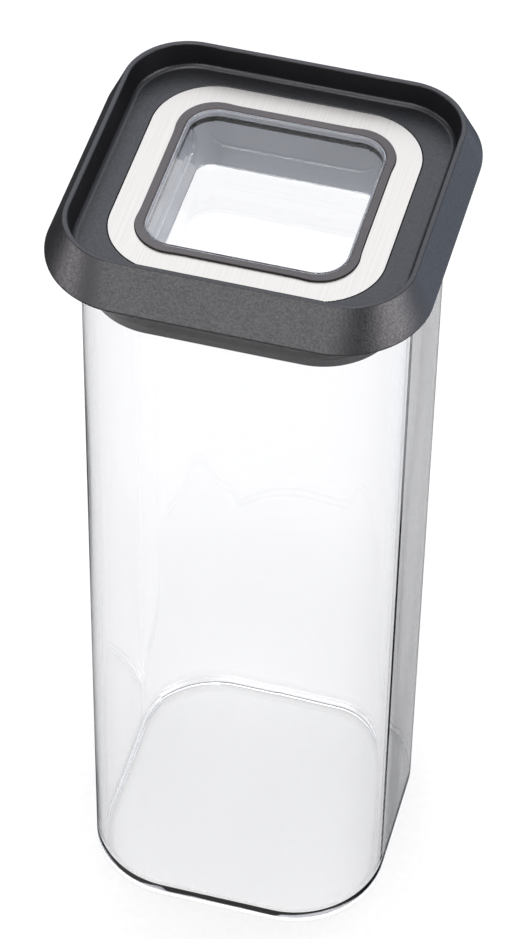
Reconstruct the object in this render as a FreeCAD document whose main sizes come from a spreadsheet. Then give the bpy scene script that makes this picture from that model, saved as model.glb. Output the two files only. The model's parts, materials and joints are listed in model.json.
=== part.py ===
import FreeCAD, Part
import math
import os
import Sketcher

# Lidded glass storage canister: a tall glass jar of rounded-square section, closed by a lift-off
# lid with a recessed tray top, a steel trim ring and a clear window well.
# Frame: origin at the middle of the jar's base, +Z up, front of the object towards -Y. Millimetres.

SIZES = {
    # glass jar
    "jar_half": 47.3,            # half the outer width
    "jar_corner": 29.3,          # outer corner radius in plan
    "jar_height": 267.2,
    "jar_wall": 2.7,
    "jar_floor": 2.4,
    "jar_foot_round": 1.6,       # outer edge of the base
    "jar_inner_round": 3.2,      # inner edge of the floor
    "jar_lip_round": 1.1,        # fire-polished lip
    # lid levels
    "rest_gap": 0.3,             # lid floor above the glass lip
    "floor_thick": 2.0,
    "rim_rise": 7.9,             # rim above the tray floor
    "skirt_drop": 1.7,           # skirt edge below the underside of the tray floor
    # lid widths, all with the same corner centres
    "lid_corner_centre": 28.3,
    "skirt_half": 54.5,
    "skirt_edge_rise": 0.7,
    "skirt_edge_wall": 1.9,
    "rim_half": 47.1,
    "rim_stretch": 2.4,          # the rim is wider across X by this much each side
    "rim_wall": 1.5,
    "foot_half": 45.6,           # inner foot of the collar
    "foot_stretch": 1.0,
    "hollow_rise": 4.0,          # hollow between collar and skirt, above the floor's underside
    "hollow_half": 48.5,
    "hollow_top_half": 49.4,
    "rim_round": 0.5,
    "foot_round": 1.5,
    # steel ring and its seat
    "ring_half": 39.05,
    "ring_corner": 18.65,
    "ring_thick": 0.6,
    "seat_play": 0.2,
    "film_thick": 0.2,
    "film_inset": 0.7,
    "film_inner_half": 33.2,
    "film_inner_corner": 11.6,
    # window frame: a square outline that swells at its corners
    "bezel_half": 31.35,         # at the middle of a side
    "bezel_corner_centre": 20.2,
    "bezel_corner": 11.4,
    "bezel_blend": 30.0,
    "bezel_play": 0.12,
    "bezel_rise": 0.6,           # above the steel ring
    "bezel_round": 0.35,
    "sight_half": 29.1,          # clear opening of the frame
    "sight_corner": 9.3,
    # clear window cup
    "opening_half": 30.7,        # hole in the tray floor
    "opening_corner": 10.9,
    "cup_play": 0.2,
    "cup_mouth_half": 28.3,
    "cup_mouth_corner": 8.5,
    "cup_floor_half": 26.8,
    "cup_floor_corner": 4.6,
    "cup_wall": 2.1,
    "cup_depth": 18.4,
    "cup_floor": 2.0,
    "cup_inner_round": 0.8,
    "neck_play": 0.15,           # between the neck of the cup and the frame around it
    "neck_drop": 0.2,            # top of the neck below the top of the frame
    "neck_round": 0.2,
    "grip_half_length": 24.2,    # oblong finger grips sunk into the cup's four walls
    "grip_radius": 5.2,
    "grip_reach": 28.3,          # bottom of the grips, from the middle of the cup
    "grip_drop": 6.4,            # middle of the grips below the mouth
    "flange_half": 34.5,
    "flange_corner": 14.7,
    "flange_thick": 1.8,
    "gasket_thick": 0.8,
    "gasket_half": 34.2,
    "gasket_corner": 14.4,
    "gasket_inner_half": 31.0,
    "gasket_inner_corner": 11.2,
    # plug ring and lip seal, with the jar's corner centres
    "plug_drop": 18.5,           # bottom of the plug below the underside of the tray floor
    "plug_inner_half": 40.4,
    "plug_half": 43.2,
    "plug_toe_half": 42.4,       # the toe has tighter corners than the wall above it
    "plug_toe_corner": 20.4,
    "plug_toe": 3.0,
    "toe_wall": 3.6,
    "toe_round": 0.8,
    "groove_half": 41.6,
    "groove_rise": 9.0,
    "clamp_half": 33.0,
    "clamp_thick": 1.7,
    "seal_play": 0.1,
    "seal_web_half": 42.8,
    "lip_half": 44.3,
    "lip_foot": 1.4,
    "lip_tip": 0.4,
    "lip_pitch": 2.6,
}
LIP_COUNT = 3

doc = FreeCAD.newDocument("canister")
sheet = doc.addObject("Spreadsheet::Sheet", "Sizes")
for row, (name, size) in enumerate(SIZES.items(), start=1):
    sheet.set("A%d" % row, name)
    sheet.set("B%d" % row, str(size))
    sheet.setAlias("B%d" % row, name)
doc.recompute()

# Levels, written as sums of the sheet's names.
LID_UNDER = "jar_height + rest_gap"
TRAY_TOP = LID_UNDER + " + floor_thick"
SEAT_TOP = TRAY_TOP + " - ring_thick - film_thick"
RIM_TOP = TRAY_TOP + " + rim_rise"
SKIRT_BOTTOM = LID_UNDER + " - skirt_drop"
FLANGE_TOP = LID_UNDER + " - gasket_thick"
FLANGE_UNDER = FLANGE_TOP + " - flange_thick"
CUP_FLOOR_TOP = SEAT_TOP + " - cup_depth"
PLUG_BOTTOM = LID_UNDER + " - plug_drop"
GROOVE_BOTTOM = PLUG_BOTTOM + " + plug_toe"
GRIP_LEVEL = SEAT_TOP + " - grip_drop"


def amount(text):
    """The number that a sum of names and numbers such as "jar_half - jar_wall" stands for."""
    total, sign = 0.0, 1
    for word in text.split():
        if word in ("+", "-"):
            sign = 1 if word == "+" else -1
        else:
            total += sign * (SIZES[word] if word in SIZES else float(word))
    return total


def formula(text):
    """The same sum as an expression on the sheet."""
    return " ".join("Sizes." + word if word in SIZES else word for word in text.split())


def new_body(label):
    body = doc.addObject("PartDesign::Body", label)
    body.Label = label
    return body


def new_sketch(body, name, plane="XY_Plane", level=None):
    """A sketch on one of the body's own origin planes, lifted to a level."""
    sketch = body.newObject("Sketcher::SketchObject", name)
    support = [feature for feature in body.Origin.OriginFeatures if feature.Role == plane]
    sketch.AttachmentSupport = [(support[0], "")]
    sketch.MapMode = "FlatFace"
    if level:
        sketch.setExpression("AttachmentOffset.Base.z", formula(level))
    return sketch


def drive(sketch, kind, *where, text):
    """A dimension of the sketch, bound to a sum of sheet names."""
    index = sketch.addConstraint(Sketcher.Constraint(kind, *where, amount(text)))
    sketch.setExpression("Constraints[%d]" % index, formula(text))


def line(start, end):
    return Part.LineSegment(FreeCAD.Vector(*start, 0), FreeCAD.Vector(*end, 0))


def arc(centre, radius, start, end):
    circle = Part.Circle(FreeCAD.Vector(*centre, 0), FreeCAD.Vector(0, 0, 1), radius)
    return Part.ArcOfCircle(circle, math.radians(start), math.radians(end))


def turned(point, quarter):
    """A point turned about the origin by quarter turns."""
    x, y = point
    for _ in range(quarter % 4):
        x, y = -y, x
    return x, y


def join(sketch, first, second):
    """The end of one curve meets the start of the next, tangent to it."""
    sketch.addConstraint(Sketcher.Constraint("Tangent", first, 2, second, 1))


def rounded_square(sketch, half, corner, split=False, stretch="0"):
    """A square with round corners about the origin, its two sides across X moved outwards by
    stretch. With split, its first side, on +X, is drawn in two runs, so that the outline starts
    on the XZ plane."""
    width, radius, extra = amount(half), amount(corner), amount(stretch)
    straight = width - radius

    def placed(point, quarter):
        x, y = turned(point, quarter)
        return x + math.copysign(extra, x), y

    sides, arcs = [], []
    for quarter in range(4):
        low = 0.0 if split and quarter == 0 else -straight
        ends = (placed((width, low), quarter), placed((width, straight), quarter))
        sides.append(sketch.addGeometry(line(*ends)))
        centre = placed((straight, straight), quarter)
        arcs.append(sketch.addGeometry(arc(centre, radius, 90 * quarter, 90 * quarter + 90)))
    for quarter in range(4):
        join(sketch, sides[quarter], arcs[quarter])
        sketch.addConstraint(Sketcher.Constraint(("Vertical", "Horizontal")[quarter % 2], sides[quarter]))
        if quarter:
            join(sketch, arcs[quarter - 1], sides[quarter])
            sketch.addConstraint(Sketcher.Constraint("Equal", arcs[0], arcs[quarter]))
    if split:
        tail = sketch.addGeometry(line((width, -straight), (width, 0.0)))
        join(sketch, arcs[3], tail)
        sketch.addConstraint(Sketcher.Constraint("Coincident", tail, 2, sides[0], 1))
        sketch.addConstraint(Sketcher.Constraint("PointOnObject", sides[0], 1, -1))
    else:
        join(sketch, arcs[3], sides[0])
    sketch.addConstraint(Sketcher.Constraint("Symmetric", arcs[0], 3, arcs[2], 3, -1, 1))
    drive(sketch, "DistanceX", -1, 1, sides[0], 1, text=half + " + " + stretch)
    drive(sketch, "DistanceY", -1, 1, sides[1], 1, text=half)
    drive(sketch, "Radius", arcs[0], text=corner)


def swelling_square(sketch, half, centre, corner, blend):
    """A square whose corners swell out past its sides: straight sides, round corners, and between
    them arcs that curve the other way."""
    width, middle, radius, hollow = (amount(text) for text in (half, centre, corner, blend))
    along = math.sqrt((radius + hollow) ** 2 - (width + hollow - middle) ** 2)
    start = middle - along
    tilt = math.degrees(math.asin(along / (radius + hollow)))
    sides, arcs, blends = [], [], []
    for quarter in range(4):
        turn = 90 * quarter
        ends = (turned((width, -start), quarter), turned((width, start), quarter))
        out = turned((width + hollow, start), quarter)
        back = turned((start, width + hollow), quarter)
        hub = turned((middle, middle), quarter)
        sides.append(sketch.addGeometry(line(*ends)))
        blends.append(sketch.addGeometry(arc(out, hollow, turn + 180 - tilt, turn + 180)))
        arcs.append(sketch.addGeometry(arc(hub, radius, turn - tilt, turn + 90 + tilt)))
        blends.append(sketch.addGeometry(arc(back, hollow, turn + 270, turn + 270 + tilt)))
    for quarter in range(4):
        side, rise, bend, fall = sides[quarter], blends[2 * quarter], arcs[quarter], blends[2 * quarter + 1]
        following = sides[(quarter + 1) % 4]
        sketch.addConstraint(Sketcher.Constraint("Tangent", side, 2, rise, 2))
        sketch.addConstraint(Sketcher.Constraint("Tangent", rise, 1, bend, 1))
        sketch.addConstraint(Sketcher.Constraint("Tangent", bend, 2, fall, 2))
        sketch.addConstraint(Sketcher.Constraint("Tangent", fall, 1, following, 1))
        sketch.addConstraint(Sketcher.Constraint(("Vertical", "Horizontal")[quarter % 2], side))
        if quarter:
            sketch.addConstraint(Sketcher.Constraint("Equal", arcs[0], bend))
            sketch.addConstraint(Sketcher.Constraint("Equal", blends[0], rise))
        sketch.addConstraint(Sketcher.Constraint("Equal", blends[0], fall))
    sketch.addConstraint(Sketcher.Constraint("Symmetric", arcs[0], 3, arcs[1], 3, -2))
    sketch.addConstraint(Sketcher.Constraint("Symmetric", arcs[0], 3, arcs[2], 3, -1, 1))
    sketch.addConstraint(Sketcher.Constraint("Symmetric", arcs[0], 3, arcs[3], 3, -1))
    drive(sketch, "DistanceX", -1, 1, arcs[0], 3, text=centre)
    drive(sketch, "DistanceY", -1, 1, arcs[0], 3, text=centre)
    drive(sketch, "DistanceX", -1, 1, sides[0], 1, text=half)
    drive(sketch, "DistanceY", -1, 1, sides[1], 1, text=half)
    drive(sketch, "DistanceX", sides[2], 1, -1, 1, text=half)
    drive(sketch, "DistanceY", sides[3], 1, -1, 1, text=half)
    drive(sketch, "Radius", arcs[0], text=corner)
    drive(sketch, "Radius", blends[0], text=blend)


def outline(sketch, corners):
    """A closed outline of straight runs, each corner placed by two sums of sheet names."""
    points = [(amount(across), amount(up)) for across, up in corners]
    runs = [sketch.addGeometry(line(point, points[(i + 1) % len(points)])) for i, point in enumerate(points)]
    for i, run in enumerate(runs):
        sketch.addConstraint(Sketcher.Constraint("Coincident", run, 2, runs[(i + 1) % len(runs)], 1))
    for run, (across, up) in zip(runs, corners):
        drive(sketch, "DistanceX", -1, 1, run, 1, text=across)
        drive(sketch, "DistanceY", -1, 1, run, 1, text=up)


def oblong(sketch, half_length, radius, level):
    """A slot with round ends, lying along the sketch's first axis at a level."""
    length, bend, middle = (amount(text) for text in (half_length, radius, level))
    reach_out = length - bend
    ends = [sketch.addGeometry(arc((reach_out, middle), bend, -90, 90)),
            sketch.addGeometry(arc((-reach_out, middle), bend, 90, 270))]
    runs = [sketch.addGeometry(line((reach_out, middle + bend), (-reach_out, middle + bend))),
            sketch.addGeometry(line((-reach_out, middle - bend), (reach_out, middle - bend)))]
    join(sketch, ends[0], runs[0])
    join(sketch, runs[0], ends[1])
    join(sketch, ends[1], runs[1])
    join(sketch, runs[1], ends[0])
    sketch.addConstraint(Sketcher.Constraint("Horizontal", runs[0]))
    sketch.addConstraint(Sketcher.Constraint("Symmetric", ends[0], 3, ends[1], 3, -2))
    drive(sketch, "DistanceY", -1, 1, ends[0], 3, text=level)
    drive(sketch, "DistanceX", -1, 1, ends[0], 3, text=half_length + " - " + radius)
    drive(sketch, "Radius", ends[0], text=radius)


def pad(body, sketch, thickness):
    feature = body.newObject("PartDesign::Pad", sketch.Name + "_pad")
    feature.Profile = sketch
    feature.setExpression("Length", formula(thickness))
    return feature


def pocket(body, sketch, depth):
    """Cuts downwards from the sketch."""
    feature = body.newObject("PartDesign::Pocket", sketch.Name + "_pocket")
    feature.Profile = sketch
    feature.setExpression("Length", formula(depth))
    return feature


def swept_ring(body, name, corners, half, corner, level, kind="AdditivePipe"):
    """An outline swept once round a rounded square, which adds to the body or cuts it."""
    path = new_sketch(body, name + "_path", level=level)
    rounded_square(path, half, corner, split=True)
    section = new_sketch(body, name + "_section", plane="XZ_Plane")
    outline(section, corners)
    feature = body.newObject("PartDesign::" + kind, name + "_sweep")
    feature.Profile = section
    feature.Spine = path
    return feature


def loft(body, kind, name, lower, upper):
    """A loft between two rounded squares, each given as half width, corner radius, level and
    stretch."""
    sections = []
    for end, (half, corner, level, stretch) in (("lower", lower), ("upper", upper)):
        sketch = new_sketch(body, name + "_" + end, level=level)
        rounded_square(sketch, half, corner, stretch=stretch)
        sections.append(sketch)
    feature = body.newObject("PartDesign::" + kind, name)
    feature.Profile = sections[0]
    feature.Sections = [sections[1]]
    feature.Ruled = True
    return feature


def reach(point, centre, extra):
    """How far out a point lies, measured as the half width of the rounded square through it."""
    across = max(abs(point.x) - extra - centre, 0.0)
    along = max(abs(point.y) - centre, 0.0)
    return centre + math.hypot(across, along)


def edges_at(feature, half, centre, level, extra):
    """Names of the edges that lie on the rounded square of this half width at this level."""
    names = []
    for number, edge in enumerate(feature.Shape.Edges, start=1):
        low, high = edge.ParameterRange
        spots = [edge.valueAt(low + share * (high - low)) for share in (0.0, 0.35, 0.7, 1.0)]
        if all(abs(reach(p, centre, extra) - half) < 0.02 and abs(p.z - level) < 0.02 for p in spots):
            names.append("Edge%d" % number)
    return names


def round_edges(body, name, radius, rings, stretch="0"):
    """Rounds the edges of the body's last feature on each ring of half width, centre and level."""
    doc.recompute()
    base = body.Tip
    names = []
    for half, centre, level in rings:
        found = edges_at(base, amount(half), amount(centre), amount(level), amount(stretch))
        if not found:
            raise SystemExit("no edges for " + name)
        names += found
    feature = body.newObject("PartDesign::Fillet", name)
    feature.Base = (base, names)
    feature.setExpression("Radius", formula(radius))
    return feature


def make_glass_jar():
    body = new_body("glass_jar")
    outer = new_sketch(body, "jar_outer")
    rounded_square(outer, "jar_half", "jar_corner")
    pad(body, outer, "jar_height")
    bore = new_sketch(body, "jar_bore", level="jar_height")
    rounded_square(bore, "jar_half - jar_wall", "jar_corner - jar_wall")
    pocket(body, bore, "jar_height - jar_floor")
    middle = "jar_half - jar_corner"
    round_edges(body, "jar_foot", "jar_foot_round", [("jar_half", middle, "0")])
    round_edges(body, "jar_inner", "jar_inner_round", [("jar_half - jar_wall", middle, "jar_floor")])
    round_edges(body, "jar_lip", "jar_lip_round", [
        ("jar_half", middle, "jar_height"), ("jar_half - jar_wall", middle, "jar_height")])
    return body


def make_lid_tray():
    body = new_body("lid_tray")
    middle = "lid_corner_centre"
    edge = new_sketch(body, "skirt_edge", level=SKIRT_BOTTOM)
    rounded_square(edge, "skirt_half", "skirt_half - lid_corner_centre")
    pad(body, edge, "skirt_edge_rise")
    loft(body, "AdditiveLoft", "skirt",
         ("skirt_half", "skirt_half - lid_corner_centre", SKIRT_BOTTOM + " + skirt_edge_rise", "0"),
         ("rim_half", "rim_half - lid_corner_centre", RIM_TOP, "rim_stretch"))
    loft(body, "SubtractiveLoft", "tray",
         ("foot_half", "foot_half - lid_corner_centre", TRAY_TOP, "foot_stretch"),
         ("rim_half - rim_wall", "rim_half - rim_wall - lid_corner_centre", RIM_TOP, "rim_stretch"))
    under = new_sketch(body, "lid_underside", level=LID_UNDER)
    rounded_square(under, "hollow_half", "hollow_half - lid_corner_centre")
    pocket(body, under, "skirt_drop")
    corners = [
        ("hollow_half - 1", SKIRT_BOTTOM),
        ("skirt_half - skirt_edge_wall", SKIRT_BOTTOM),
        ("hollow_top_half", LID_UNDER + " + hollow_rise"),
        ("hollow_half", LID_UNDER + " + hollow_rise"),
        ("hollow_half", LID_UNDER),
        ("hollow_half - 1", LID_UNDER),
    ]
    swept_ring(body, "hollow", corners, "hollow_half", "hollow_half - lid_corner_centre", LID_UNDER,
               kind="SubtractivePipe")
    seat = new_sketch(body, "ring_seat", level=TRAY_TOP)
    rounded_square(seat, "ring_half + seat_play", "ring_corner + seat_play")
    pocket(body, seat, "ring_thick + film_thick")
    opening = new_sketch(body, "window_opening", level=TRAY_TOP)
    rounded_square(opening, "opening_half", "opening_corner")
    pocket(body, opening, "floor_thick")
    round_edges(body, "rim_edges", "rim_round", [
        ("rim_half", middle, RIM_TOP), ("rim_half - rim_wall", middle, RIM_TOP)], stretch="rim_stretch")
    round_edges(body, "collar_foot", "foot_round", [("foot_half", middle, TRAY_TOP)],
                stretch="foot_stretch")
    return body


def make_steel_ring():
    body = new_body("steel_ring")
    plate = new_sketch(body, "ring_plate", level=SEAT_TOP + " + film_thick")
    rounded_square(plate, "ring_half", "ring_corner")
    swelling_square(plate, "bezel_half + bezel_play", "bezel_corner_centre", "bezel_corner + bezel_play",
                    "bezel_blend - bezel_play")
    pad(body, plate, "ring_thick")
    return body


def make_ring_adhesive():
    body = new_body("ring_adhesive")
    film = new_sketch(body, "film_outline", level=SEAT_TOP)
    rounded_square(film, "ring_half - film_inset", "ring_corner - film_inset")
    rounded_square(film, "film_inner_half", "film_inner_corner")
    pad(body, film, "film_thick")
    return body


def make_window_bezel():
    body = new_body("window_bezel")
    frame = new_sketch(body, "bezel_frame", level=SEAT_TOP)
    swelling_square(frame, "bezel_half", "bezel_corner_centre", "bezel_corner", "bezel_blend")
    rounded_square(frame, "sight_half", "sight_corner")
    pad(body, frame, "ring_thick + film_thick + bezel_rise")
    round_edges(body, "bezel_inner_edge", "bezel_round", [
        ("sight_half", "sight_half - sight_corner", TRAY_TOP + " + bezel_rise")])
    return body


def make_window_cup():
    body = new_body("window_cup")
    loft(body, "AdditiveLoft", "cup_outside",
         ("cup_floor_half + cup_wall", "cup_floor_corner + cup_wall", CUP_FLOOR_TOP + " - cup_floor", "0"),
         ("opening_half - cup_play", "opening_corner - cup_play", SEAT_TOP, "0"))
    flange = new_sketch(body, "cup_flange", level=FLANGE_UNDER)
    rounded_square(flange, "flange_half", "flange_corner")
    pad(body, flange, "flange_thick")
    loft(body, "SubtractiveLoft", "cup_inside",
         ("cup_floor_half", "cup_floor_corner", CUP_FLOOR_TOP, "0"),
         ("cup_mouth_half", "cup_mouth_corner", SEAT_TOP, "0"))
    neck = new_sketch(body, "cup_neck", level=SEAT_TOP)
    rounded_square(neck, "sight_half - neck_play", "sight_corner - neck_play")
    rounded_square(neck, "cup_mouth_half", "cup_mouth_corner")
    pad(body, neck, "ring_thick + film_thick + bezel_rise - neck_drop")
    middle = "sight_half - sight_corner"
    top = TRAY_TOP + " + bezel_rise - neck_drop"
    round_edges(body, "neck_edges", "neck_round", [
        ("sight_half - neck_play", middle, top), ("cup_mouth_half", middle, top)])
    for plane in ("XZ_Plane", "YZ_Plane"):
        grip = new_sketch(body, "grip_" + plane[:2], plane=plane)
        oblong(grip, "grip_half_length", "grip_radius", GRIP_LEVEL)
        cut = pocket(body, grip, "grip_reach + grip_reach")
        cut.SideType = "Symmetric"
    round_edges(body, "cup_inner_foot", "cup_inner_round", [
        ("cup_floor_half", "cup_floor_half - cup_floor_corner", CUP_FLOOR_TOP)])
    return body


def make_window_gasket():
    body = new_body("window_gasket")
    band = new_sketch(body, "gasket_band", level=FLANGE_TOP)
    rounded_square(band, "gasket_half", "gasket_corner")
    rounded_square(band, "gasket_inner_half", "gasket_inner_corner")
    pad(body, band, "gasket_thick")
    return body


def make_plug_ring():
    body = new_body("plug_ring")
    toe = new_sketch(body, "plug_toe", level=PLUG_BOTTOM)
    rounded_square(toe, "plug_toe_half", "plug_toe_corner")
    rounded_square(toe, "plug_toe_half - toe_wall", "plug_toe_corner - toe_wall")
    pad(body, toe, "plug_toe")
    corners = [
        ("plug_inner_half", GROOVE_BOTTOM + " - 1"),
        ("groove_half", GROOVE_BOTTOM + " - 1"),
        ("groove_half", GROOVE_BOTTOM + " + groove_rise"),
        ("plug_half", GROOVE_BOTTOM + " + groove_rise"),
        ("plug_half", LID_UNDER),
        ("plug_inner_half", LID_UNDER),
        ("plug_inner_half", FLANGE_UNDER),
        ("clamp_half", FLANGE_UNDER),
        ("clamp_half", FLANGE_UNDER + " - clamp_thick"),
        ("plug_inner_half", FLANGE_UNDER + " - clamp_thick"),
    ]
    swept_ring(body, "plug", corners, "plug_inner_half",
               "plug_inner_half - jar_half + jar_corner", PLUG_BOTTOM)
    round_edges(body, "toe_edge", "toe_round", [
        ("plug_toe_half", "plug_toe_half - plug_toe_corner", PLUG_BOTTOM)])
    return body


def make_lid_seal():
    body = new_body("lid_seal")
    start = GROOVE_BOTTOM + " + seal_play"
    corners = [("groove_half", start), ("seal_web_half", start)]
    for lip in range(LIP_COUNT):
        foot = start + " + lip_tip + lip_tip" + " + lip_pitch" * lip
        corners += [
            ("seal_web_half", foot),
            ("lip_half", foot + " + lip_tip"),
            ("lip_half", foot + " + lip_tip + lip_tip"),
            ("seal_web_half", foot + " + lip_foot"),
        ]
    end = GROOVE_BOTTOM + " + groove_rise - seal_play"
    corners += [("seal_web_half", end), ("groove_half", end)]
    swept_ring(body, "seal", corners, "groove_half", "groove_half - jar_half + jar_corner", PLUG_BOTTOM)
    return body


bodies = [
    make_glass_jar(),
    make_lid_tray(),
    make_steel_ring(),
    make_ring_adhesive(),
    make_window_bezel(),
    make_window_cup(),
    make_window_gasket(),
    make_plug_ring(),
    make_lid_seal(),
]
doc.recompute()

for item in doc.Objects:
    if "Invalid" in item.State or "Error" in item.State:
        raise SystemExit("failed: " + item.Name)
os.makedirs("parts", exist_ok=True)
for body in bodies:
    shape = body.Shape
    if shape.isNull() or not shape.isValid() or len(shape.Solids) != 1:
        raise SystemExit("bad shape: " + body.Label)
    box = shape.BoundBox
    print("%-14s volume %9.1f  z %7.2f to %7.2f  half width %5.2f"
          % (body.Label, shape.Volume, box.ZMin, box.ZMax, box.XMax))
    shape.exportStep("parts/" + body.Label + ".step")
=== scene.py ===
import json
import math

import bmesh
import bpy
from mathutils import Matrix, Vector


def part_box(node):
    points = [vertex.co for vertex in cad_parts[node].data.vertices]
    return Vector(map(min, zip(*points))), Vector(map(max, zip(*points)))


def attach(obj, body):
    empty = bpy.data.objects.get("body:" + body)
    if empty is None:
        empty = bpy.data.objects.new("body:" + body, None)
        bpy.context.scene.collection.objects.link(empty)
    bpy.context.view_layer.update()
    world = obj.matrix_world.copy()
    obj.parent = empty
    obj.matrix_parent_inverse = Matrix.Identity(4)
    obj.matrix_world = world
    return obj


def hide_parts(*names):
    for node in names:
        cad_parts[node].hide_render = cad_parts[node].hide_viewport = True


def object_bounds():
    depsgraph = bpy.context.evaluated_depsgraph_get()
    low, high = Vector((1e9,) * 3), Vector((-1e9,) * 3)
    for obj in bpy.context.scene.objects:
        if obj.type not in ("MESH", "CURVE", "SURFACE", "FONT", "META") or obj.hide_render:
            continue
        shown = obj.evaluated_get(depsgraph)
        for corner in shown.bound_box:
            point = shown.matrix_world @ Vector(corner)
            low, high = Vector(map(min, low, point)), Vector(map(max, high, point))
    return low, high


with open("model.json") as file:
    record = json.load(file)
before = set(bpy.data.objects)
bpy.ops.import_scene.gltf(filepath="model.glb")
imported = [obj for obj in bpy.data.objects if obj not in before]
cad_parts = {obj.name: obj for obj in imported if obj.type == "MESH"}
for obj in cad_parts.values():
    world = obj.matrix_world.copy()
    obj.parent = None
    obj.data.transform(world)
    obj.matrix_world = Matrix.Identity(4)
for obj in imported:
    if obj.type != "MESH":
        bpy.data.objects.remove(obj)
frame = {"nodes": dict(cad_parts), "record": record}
cad_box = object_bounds()

# ---------------------------------------------------------------- materials


def new_material(name):
    """An empty node material with a Principled shader: returns the material, nodes, links, shader."""
    material = bpy.data.materials.new(name)
    material.use_nodes = True
    nodes = material.node_tree.nodes
    return material, nodes, material.node_tree.links, nodes["Principled BSDF"]


def grain(nodes, links, scale, detail=3.0, stretch=(1, 1, 1)):
    """Noise on the object's own coordinates, in features per metre."""
    place = nodes.new("ShaderNodeTexCoord")
    mapping = nodes.new("ShaderNodeMapping")
    mapping.inputs["Scale"].default_value = stretch
    noise = nodes.new("ShaderNodeTexNoise")
    noise.inputs["Scale"].default_value = scale
    noise.inputs["Detail"].default_value = detail
    links.new(place.outputs["Object"], mapping.inputs["Vector"])
    links.new(mapping.outputs["Vector"], noise.inputs["Vector"])
    return noise.outputs["Fac"]


def add_bump(nodes, links, shader, height, distance):
    bump = nodes.new("ShaderNodeBump")
    bump.inputs["Distance"].default_value = distance
    bump.inputs["Strength"].default_value = 1.0
    links.new(height, bump.inputs["Height"])
    links.new(bump.outputs["Normal"], shader.inputs["Normal"])


def spread(nodes, links, value, low, high):
    """Maps the middle of a noise value's range onto a range of numbers."""
    span = nodes.new("ShaderNodeMapRange")
    span.inputs["From Min"].default_value = 0.3
    span.inputs["From Max"].default_value = 0.7
    span.inputs["To Min"].default_value = low
    span.inputs["To Max"].default_value = high
    links.new(value, span.inputs["Value"])
    return span.outputs["Result"]


def blend_colours(nodes, links, value, low, high):
    """Mixes two colours by a noise value."""
    ramp = nodes.new("ShaderNodeValToRGB")
    ramp.color_ramp.elements[0].position = 0.35
    ramp.color_ramp.elements[1].position = 0.65
    ramp.color_ramp.elements[0].color = (*low, 1)
    ramp.color_ramp.elements[1].color = (*high, 1)
    links.new(value, ramp.inputs["Fac"])
    return ramp.outputs["Color"]


def glass(name, ior, tint, density):
    """Clear glass or plastic, faintly wavy, that tints light over its depth."""
    material, nodes, links, shader = new_material(name)
    shader.inputs["Base Color"].default_value = (1, 1, 1, 1)
    shader.inputs["Transmission Weight"].default_value = 1.0
    shader.inputs["IOR"].default_value = ior
    shader.inputs["Roughness"].default_value = 0.0
    waves = grain(nodes, links, 28.0, 1.0, (1, 1, 0.15))
    add_bump(nodes, links, shader, waves, 0.00025)
    absorb = nodes.new("ShaderNodeVolumeAbsorption")
    absorb.inputs["Color"].default_value = (*tint, 1)
    absorb.inputs["Density"].default_value = density
    links.new(absorb.outputs["Volume"], nodes["Material Output"].inputs["Volume"])
    return material


def satin_clear(name):
    """Clear plastic with a fine satin texture moulded into it."""
    material, nodes, links, shader = new_material(name)
    shader.inputs["Base Color"].default_value = (0.80, 0.85, 0.93, 1)
    shader.inputs["Transmission Weight"].default_value = 0.5
    shader.inputs["IOR"].default_value = 1.49
    fine = grain(nodes, links, 1800.0, 2.0)
    links.new(spread(nodes, links, fine, 0.32, 0.42), shader.inputs["Roughness"])
    return material


ROUGHNESS_SPREAD = 0.09


def moulded_plastic(name, dark, light, roughness, bump=0.00003, gloss=0.5):
    """Satin moulded plastic with a fine spark-eroded grain."""
    material, nodes, links, shader = new_material(name)
    shader.inputs["Specular IOR Level"].default_value = gloss
    fine = grain(nodes, links, 1500.0, 2.0)
    broad = grain(nodes, links, 35.0, 3.0)
    links.new(blend_colours(nodes, links, broad, dark, light), shader.inputs["Base Color"])
    varied = spread(nodes, links, fine, roughness - ROUGHNESS_SPREAD, roughness + ROUGHNESS_SPREAD)
    links.new(varied, shader.inputs["Roughness"])
    add_bump(nodes, links, shader, fine, bump)
    return material


def brushed_steel(name):
    """Steel brushed along its Y axis."""
    material, nodes, links, shader = new_material(name)
    lines = grain(nodes, links, 2000.0, 4.0, (1, 0.012, 1))
    links.new(blend_colours(nodes, links, lines, (0.43, 0.405, 0.362), (0.50, 0.472, 0.427)),
              shader.inputs["Base Color"])
    links.new(spread(nodes, links, lines, 0.30, 0.45), shader.inputs["Roughness"])
    shader.inputs["Metallic"].default_value = 1.0
    add_bump(nodes, links, shader, lines, 0.000012)
    return material


NEAR_BLACK = (0.006, 0.006, 0.007)
DARK_GREY = (0.009, 0.009, 0.010)

materials = {
    "clear_glass": glass("clear_glass", 1.47, (0.60, 0.605, 0.625), 26.0),
    "clear_plastic": glass("clear_plastic", 1.49, (0.60, 0.63, 0.68), 42.0),
    "satin_clear": satin_clear("satin_clear"),
    "anthracite_plastic": moulded_plastic("anthracite_plastic", NEAR_BLACK, DARK_GREY, 0.41,
                                          bump=0.00006),
    # The collar's inner face: a darker, less glossy copy of the anthracite plastic, painted shade for
    # that recess.
    "collar_painted_shade": moulded_plastic("collar_painted_shade", (0.004, 0.004, 0.005), NEAR_BLACK, 0.5,
                                    gloss=0.12),
    "bezel_grey": moulded_plastic("bezel_grey", (0.055, 0.047, 0.047), (0.072, 0.062, 0.062), 0.6),
    "plug_plastic": moulded_plastic("plug_plastic", NEAR_BLACK, DARK_GREY, 0.4, gloss=0.06),
    "dark_silicone": moulded_plastic("dark_silicone", (0.005, 0.005, 0.006),
                                     (0.008, 0.008, 0.009), 0.4, gloss=0.06),
    "adhesive_film": moulded_plastic("adhesive_film", (0.60, 0.58, 0.54), (0.68, 0.66, 0.62), 0.7),
    "brushed_steel": brushed_steel("brushed_steel"),
}

SLOTS = {entry["node"]: entry["material_slot"] for entry in frame["record"]["subparts"]}
BODIES = {"glass_jar": "jar"}

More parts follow.
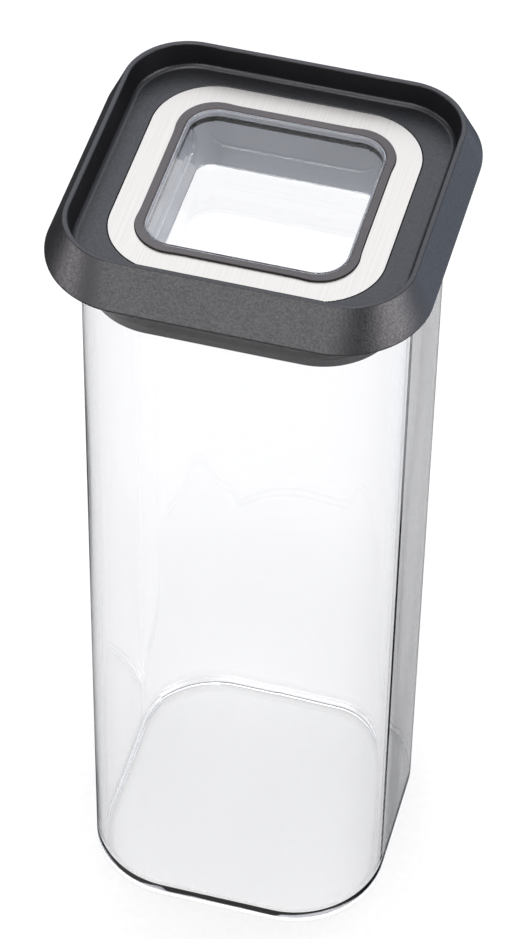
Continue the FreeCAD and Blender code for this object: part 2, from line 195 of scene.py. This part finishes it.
for node_name, node in frame["nodes"].items():
    for slot in node.material_slots:
        slot.link = "OBJECT"
        slot.material = materials[SLOTS[node_name]]

# ---------------------------------------------------------------- pieces


def settle(piece, node_name):
    """Puts a new piece on its body in place of a CAD node, and hides that node."""
    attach(piece, BODIES.get(node_name, "lid"))
    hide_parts(node_name)


def level_shading(piece):
    """Smooth shading that keeps flat faces flat."""
    weigh = piece.modifiers.new("even_normals", "WEIGHTED_NORMAL")
    weigh.mode = "FACE_AREA"
    weigh.weight = 90
    weigh.keep_sharp = True


SHARP_ANGLE = math.radians(35.0)
FLAT_ANGLE = math.radians(0.4)
WELD_DISTANCE = 1e-6


def finished_copy(node_name, name, edge):
    """A copy of a CAD node with clean faces and a small bevel of width edge on its sharp edges."""
    mesh = frame["nodes"][node_name].data.copy()
    mesh.name = name
    shape = bmesh.new()
    shape.from_mesh(mesh)
    bmesh.ops.remove_doubles(shape, verts=shape.verts, dist=WELD_DISTANCE)
    bmesh.ops.dissolve_limit(shape, angle_limit=FLAT_ANGLE, verts=shape.verts, edges=shape.edges)
    for face in shape.faces:
        face.smooth = True
    shape.to_mesh(mesh)
    shape.free()
    mesh.set_sharp_from_angle(angle=SHARP_ANGLE)
    piece = bpy.data.objects.new(name, mesh)
    bpy.context.collection.objects.link(piece)
    mesh.materials.clear()
    mesh.materials.append(materials[SLOTS[node_name]])
    bevel = piece.modifiers.new("soft_edges", "BEVEL")
    bevel.width = edge
    bevel.segments = 3
    bevel.limit_method = "ANGLE"
    bevel.angle_limit = SHARP_ANGLE
    level_shading(piece)
    settle(piece, node_name)
    return piece


def square_loop(half, centre, level, steps):
    """Points counterclockwise round a rounded square whose corner arcs are centred at centre."""
    radius = half - centre
    points = []
    for quarter in range(4):
        for step in range(steps + 1):
            turn = math.radians(90.0 * (quarter + step / steps))
            middle_x = centre * (1 if quarter in (0, 3) else -1)
            middle_y = centre * (1 if quarter in (0, 1) else -1)
            points.append((middle_x + radius * math.cos(turn),
                           middle_y + radius * math.sin(turn), level))
    return points


def swept_square(name, profile, centre, material, steps=24):
    """A closed shell from a profile of (half width, level), swept round a rounded square and
    closed by a flat face at each end."""
    shape = bmesh.new()
    loops = [[shape.verts.new(point) for point in square_loop(half, centre, level, steps)]
             for half, level in profile]
    for lower, upper in zip(loops, loops[1:]):
        for index in range(len(lower)):
            after = (index + 1) % len(lower)
            shape.faces.new((lower[index], lower[after], upper[after], upper[index]))
    shape.faces.new(reversed(loops[0]))
    shape.faces.new(loops[-1])
    for face in shape.faces:
        face.smooth = True
    mesh = bpy.data.meshes.new(name)
    shape.to_mesh(mesh)
    shape.free()
    mesh.materials.append(material)
    piece = bpy.data.objects.new(name, mesh)
    bpy.context.collection.objects.link(piece)
    level_shading(piece)
    return piece


def bend(middle, radius, start, end, steps=8):
    """Profile points on an arc, angles in degrees from the outward direction towards up."""
    turns = [math.radians(start + (end - start) * step / steps) for step in range(steps + 1)]
    return [(middle[0] + radius * math.cos(turn), middle[1] + radius * math.sin(turn))
            for turn in turns]


JAR_CORNER_CENTRE = 0.018
JAR_WALL = 0.0027
JAR_FLOOR = 0.0024
JAR_FOOT_ROUND = 0.0016
JAR_INNER_ROUND = 0.0032
JAR_PUNT = 0.0006
JAR_PUNT_MARGIN = 0.0022
JAR_BASE_CENTRE = 0.024
JAR_FLOOR_CENTRE = 0.028


def make_jar():
    """The jar as one shell: base, outside, lip, inside and floor."""
    half, _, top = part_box("glass_jar")[1]
    inner = half - JAR_WALL
    lip = JAR_WALL / 2
    stand = half - JAR_FOOT_ROUND
    profile = [(JAR_BASE_CENTRE, JAR_PUNT), (stand - JAR_PUNT_MARGIN, JAR_PUNT)]
    profile += bend((stand, JAR_FOOT_ROUND), JAR_FOOT_ROUND, -90, 0)
    profile += bend((half - lip, top - lip), lip, 0, 180, 12)
    profile += bend((inner - JAR_INNER_ROUND, JAR_FLOOR + JAR_INNER_ROUND), JAR_INNER_ROUND, 0, -90)
    profile += [(JAR_FLOOR_CENTRE, JAR_FLOOR)]
    jar = swept_square("jar_glass", profile, JAR_CORNER_CENTRE, materials["clear_glass"])
    jar.visible_shadow = False
    settle(jar, "glass_jar")


SATIN_REACH = 0.031
STEEP = 0.3
UPRIGHT = 0.6
COLLAR_START = 0.001


def faces_outward(face):
    """How far a face looks away from the vertical axis: below zero, it looks towards it."""
    return face.center.x * face.normal.x + face.center.y * face.normal.y


def make_window_cup():
    """The clear cup: polished inside and underneath, satin on the outside of its walls."""
    cup = finished_copy("window_cup", "cup_clear", 0.00035)
    cup.data.materials.append(materials["satin_clear"])
    for face in cup.data.polygons:
        side = max(abs(face.center.x), abs(face.center.y))
        if abs(face.normal.z) < STEEP and faces_outward(face) > 0 and side < SATIN_REACH:
            face.material_index = 1
    cup.visible_shadow = False


def make_lid_shell():
    """The lid moulding, satin all over but for the inner face of its collar, which gets a darker,
    duller copy of the plastic as painted shade.
    """
    shell = finished_copy("lid_tray", "lid_shell", 0.00018)
    # The inner collar faces take the painted-shade copy of the plastic.
    shell.data.materials.append(materials["collar_painted_shade"])
    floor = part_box("steel_ring")[1][2]
    for face in shell.data.polygons:
        above_floor = face.center.z > floor + COLLAR_START
        if faces_outward(face) < 0 and abs(face.normal.z) < UPRIGHT and above_floor:
            face.material_index = 1


make_jar()
make_window_cup()
make_lid_shell()
finished_copy("steel_ring", "trim_ring", 0.00012)
finished_copy("window_bezel", "window_frame", 0.00015)
finished_copy("plug_ring", "plug_frame", 0.00025)
finished_copy("lid_seal", "lip_seal", 0.00012)

# ---------------------------------------------------------------- stage, lights and camera


FLOOR_SIZE = 8.0
FLOOR_GAP = 0.0002
FLOOR_GLOW = 0.61


def make_floor():
    """A pale floor that glows, as in a product light box. Reflections and shadow rays pass it."""
    bpy.ops.mesh.primitive_plane_add(size=FLOOR_SIZE, location=(0, 0, cad_box[0][2] - FLOOR_GAP))
    floor = bpy.context.object
    floor.name = "studio_floor"
    material, nodes, links, shader = new_material("studio_paper")
    paper = grain(nodes, links, 400.0)
    links.new(blend_colours(nodes, links, paper, (0.30, 0.295, 0.285), (0.32, 0.315, 0.305)),
              shader.inputs["Base Color"])
    shader.inputs["Roughness"].default_value = 0.9
    shader.inputs["Emission Color"].default_value = (1, 1, 1, 1)
    shader.inputs["Emission Strength"].default_value = FLOOR_GLOW
    floor.data.materials.append(material)
    floor.visible_glossy = False
    floor.visible_shadow = False


def add_area_light(name, place, target, size, energy):
    """A rectangular light at place, turned to target."""
    data = bpy.data.lights.new(name, "AREA")
    data.shape = "RECTANGLE"
    data.size, data.size_y = size
    data.energy = energy
    light = bpy.data.objects.new(name, data)
    light.location = place
    light.rotation_euler = (Vector(target) - Vector(place)).to_track_quat("-Z", "Y").to_euler()
    bpy.context.collection.objects.link(light)


def glow(nodes, links, towards, reach, colour, strength):
    """A soft patch of sky round a direction, fading out over reach degrees."""
    place = nodes.new("ShaderNodeTexCoord")
    facing = nodes.new("ShaderNodeVectorMath")
    facing.operation = "DOT_PRODUCT"
    facing.inputs[1].default_value = Vector(towards).normalized()
    links.new(place.outputs["Generated"], facing.inputs[0])
    fade = nodes.new("ShaderNodeMapRange")
    fade.interpolation_type = "SMOOTHSTEP"
    fade.inputs["From Min"].default_value = math.cos(math.radians(reach))
    fade.inputs["From Max"].default_value = math.cos(math.radians(reach * 0.3))
    fade.inputs["To Max"].default_value = strength
    links.new(facing.outputs["Value"], fade.inputs["Value"])
    sky = nodes.new("ShaderNodeBackground")
    sky.inputs["Color"].default_value = (*colour, 1)
    links.new(fade.outputs["Result"], sky.inputs["Strength"])
    return sky.outputs["Background"]


# Direction, reach in degrees, colour and strength of each patch.
SKY = (
    ((-0.17, -0.95, 0.26), 34, (1.0, 0.98, 1.0), 4.8),     # front
    ((-0.93, -0.36, 0.03), 24, (1.0, 0.95, 0.98), 5.5),    # left
    ((0.97, -0.22, 0.12), 32, (1.0, 0.96, 1.0), 7.0),      # right
    ((0.74, 0.64, -0.15), 46, (0.70, 0.80, 1.0), 1.0),     # low behind on the right
    ((-0.15, 0.52, 0.84), 54, (0.86, 0.90, 1.0), 2.4),     # high behind
    ((0.0, -0.5, -0.86), 60, (1.0, 1.0, 1.0), 0.5),        # from beneath
)


FILL_COLOUR = (0.90, 0.95, 1.0, 1)
FILL_STRENGTH = 0.06


def make_sky():
    """A dim even fill, with the soft patches of SKY added to it."""
    world = bpy.data.worlds.new("studio")
    world.use_nodes = True
    nodes, links = world.node_tree.nodes, world.node_tree.links
    total = nodes["Background"]
    total.inputs["Color"].default_value = FILL_COLOUR
    total.inputs["Strength"].default_value = FILL_STRENGTH
    light = total.outputs["Background"]
    for towards, reach, colour, strength in SKY:
        join = nodes.new("ShaderNodeAddShader")
        links.new(light, join.inputs[0])
        links.new(glow(nodes, links, towards, reach, colour, strength), join.inputs[1])
        light = join.outputs["Shader"]
    links.new(light, nodes["World Output"].inputs["Surface"])
    bpy.context.scene.world = world


def make_lights():
    add_area_light("top_softbox", place=(0.1, -0.3, 2.0), target=(0, 0, 0.2), size=(0.4, 0.4),
                   energy=14)
    make_sky()


CAMERA_AZIMUTH = math.radians(14.34)
CAMERA_HEIGHT = math.radians(46.81)
CAMERA_ROLL = math.radians(1.12)
CAMERA_DISTANCE = 1.238
CAMERA_TARGET = Vector((-0.0157, 0.0630, 0.0875))
CAMERA_LENS = 146.8


def make_camera():
    """The camera, looking at CAMERA_TARGET and rolled a little about its own axis."""
    data = bpy.data.cameras.new("camera")
    data.lens = CAMERA_LENS
    data.sensor_width = 36.0
    camera = bpy.data.objects.new("camera", data)
    flat = math.cos(CAMERA_HEIGHT)
    back = Vector((math.sin(CAMERA_AZIMUTH) * flat, -math.cos(CAMERA_AZIMUTH) * flat,
                   math.sin(CAMERA_HEIGHT)))
    right = Vector((0, 0, 1)).cross(back).normalized()
    up = back.cross(right)
    turn = Matrix((right, up, back)).transposed().to_4x4()
    roll = Matrix.Rotation(CAMERA_ROLL, 4, "Z")
    camera.matrix_world = Matrix.Translation(CAMERA_TARGET + back * CAMERA_DISTANCE) @ turn @ roll
    bpy.context.collection.objects.link(camera)
    bpy.context.scene.camera = camera


make_floor()
make_lights()
make_camera()
bpy.context.scene.view_settings.view_transform = "Standard"
cycles = bpy.context.scene.cycles
cycles.caustics_refractive = False
cycles.caustics_reflective = False
cycles.max_bounces = 40
cycles.glossy_bounces = 32
cycles.transmission_bounces = 24
